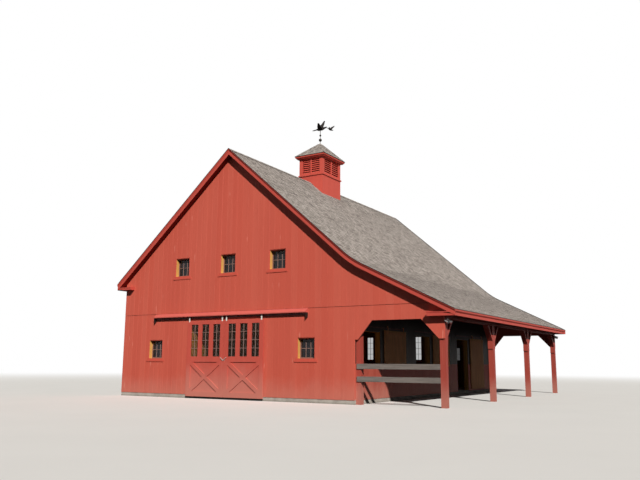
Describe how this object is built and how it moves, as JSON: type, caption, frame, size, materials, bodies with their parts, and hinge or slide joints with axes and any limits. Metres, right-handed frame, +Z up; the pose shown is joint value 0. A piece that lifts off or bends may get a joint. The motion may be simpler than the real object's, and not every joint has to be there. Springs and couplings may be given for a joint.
{
  "type": "gabled barn with side porch",
  "caption": "Red gabled barn with a sprung side porch on braced posts, sliding doors, a louvred cupola and a turning goose weathervane.",
  "frame": {"origin": "on the ground under the middle of the barn's outline", "axes": "+X to the right along the front, +Y from the front to the rear, +Z up"},
  "size_m": [14.911, 15.23, 12.9327],
  "materials": {
    "concrete": "rough concrete",
    "red_siding": "solid red stain on vertical boards",
    "red_trim": "solid red stain",
    "cupola_red": "solid red stain",
    "door_red": "faded solid red stain",
    "shingles": "weathered grey-brown shingles over timber",
    "vane_iron": "dark weathered metal",
    "track_steel": "galvanised",
    "glass": "clear window glass",
    "bare_wood": "bare softwood",
    "weathered_wood": "grey weathered board",
    "stall_door_wood": "clear finished boards",
    "lamp_white": "white enamel"
  },
  "bodies": {
    "barn": {"foundation": "concrete", "floor_slab": "concrete", "front_wall_left": "red_siding", "front_wall_right": "red_siding", "front_gable": "red_siding", "rear_wall_left": "red_siding", "rear_wall_right": "red_siding", "rear_gable": "red_siding", "left_wall": "red_siding", "stall_wall_piers": "red_siding", "stall_wall_header": "red_siding", "loft_floor": "bare_wood", "roof_left": "shingles", "roof_right": "shingles", "ridge_cap": "shingles", "front_rakes": "red_trim", "rear_rakes": "red_trim", "left_eave": "red_trim", "right_eave": "red_trim", "cupola_base": "cupola_red", "cupola_louvres": "cupola_red", "cupola_eaves": "red_trim", "cupola_roof": "shingles", "vane_mast": "vane_iron", "front_track_hood": "red_trim", "rear_track_hood": "red_trim", "door_tracks": "track_steel", "upper_windows": "bare_wood", "lower_windows": "bare_wood", "window_glass": "glass", "porch_front_panel": "red_siding", "porch_rear_panel": "red_siding", "porch_posts": "red_trim", "porch_beam": "red_trim", "knee_braces": "red_trim", "porch_rails": "weathered_wood", "floodlights": "lamp_white"},
    "front_door_left": {"front_door_left": "door_red", "front_left_lights": "glass"},
    "front_door_right": {"front_door_right": "door_red", "front_right_lights": "glass"},
    "rear_door_left": {"rear_door_left": "door_red", "rear_left_lights": "glass"},
    "rear_door_right": {"rear_door_right": "door_red", "rear_right_lights": "glass"},
    "stall_door_1": {"stall_door_1": "stall_door_wood"},
    "stall_door_2": {"stall_door_2": "stall_door_wood"},
    "stall_door_3": {"stall_door_3": "stall_door_wood"},
    "weathervane": {"weathervane": "vane_iron"}
  },
  "joints": [
    {"name": "front_door_left_slide", "type": "slide", "parent": "barn", "child": "front_door_left", "axis": [-1, 0, 0], "range_m": [0, 1.75]},
    {"name": "front_door_right_slide", "type": "slide", "parent": "barn", "child": "front_door_right", "axis": [1, 0, 0], "range_m": [0, 1.75]},
    {"name": "rear_door_left_slide", "type": "slide", "parent": "barn", "child": "rear_door_left", "axis": [-1, 0, 0], "range_m": [0, 1.75]},
    {"name": "rear_door_right_slide", "type": "slide", "parent": "barn", "child": "rear_door_right", "axis": [1, 0, 0], "range_m": [0, 1.75]},
    {"name": "stall_door_1_slide", "type": "slide", "parent": "barn", "child": "stall_door_1", "axis": [0, -1, 0], "range_m": [0, 1.86]},
    {"name": "stall_door_2_slide", "type": "slide", "parent": "barn", "child": "stall_door_2", "axis": [0, -1, 0], "range_m": [0, 1.86]},
    {"name": "stall_door_3_slide", "type": "slide", "parent": "barn", "child": "stall_door_3", "axis": [0, -1, 0], "range_m": [0, 1.86]},
    {"name": "weathervane_turn", "type": "hinge", "parent": "barn", "child": "weathervane", "pos_m": [-1.6505, -0.74, 12.35], "axis": [0, 0, 1], "continuous": true}
  ]
}
